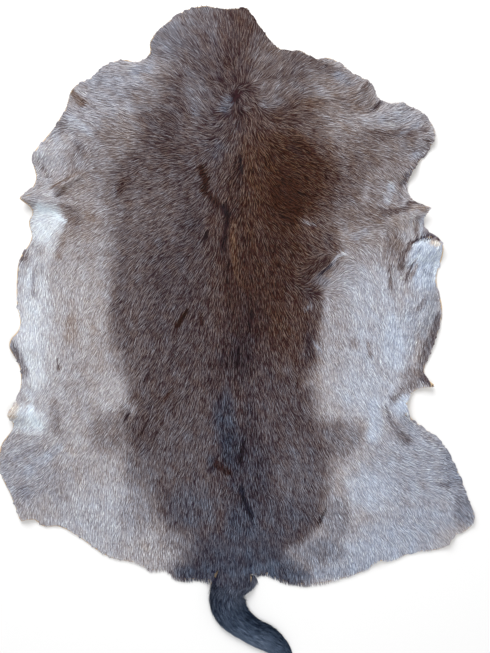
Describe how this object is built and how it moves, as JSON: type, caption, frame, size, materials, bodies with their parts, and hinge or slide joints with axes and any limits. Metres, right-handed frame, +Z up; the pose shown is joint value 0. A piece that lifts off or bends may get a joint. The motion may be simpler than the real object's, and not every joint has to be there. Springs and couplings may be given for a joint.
{
  "type": "deerskin rug with its tail",
  "caption": "Tanned deerskin with the hair on, lying flat, hair side up, with a wavy edge raised in folds and a short bent tail.",
  "frame": {"origin": "centre of the outline, on the floor under the hide", "axes": "+Y along the back towards the neck, +X to the right seen from above with the neck away from the viewer, +Z up out of the hair"},
  "size_m": [0.8782, 1.2094, 0.0314],
  "materials": {
    "hair_coat": "matte",
    "tanned_skin": "matte"
  },
  "bodies": {
    "root": {"hide": "hair_coat"}
  },
  "joints": []
}
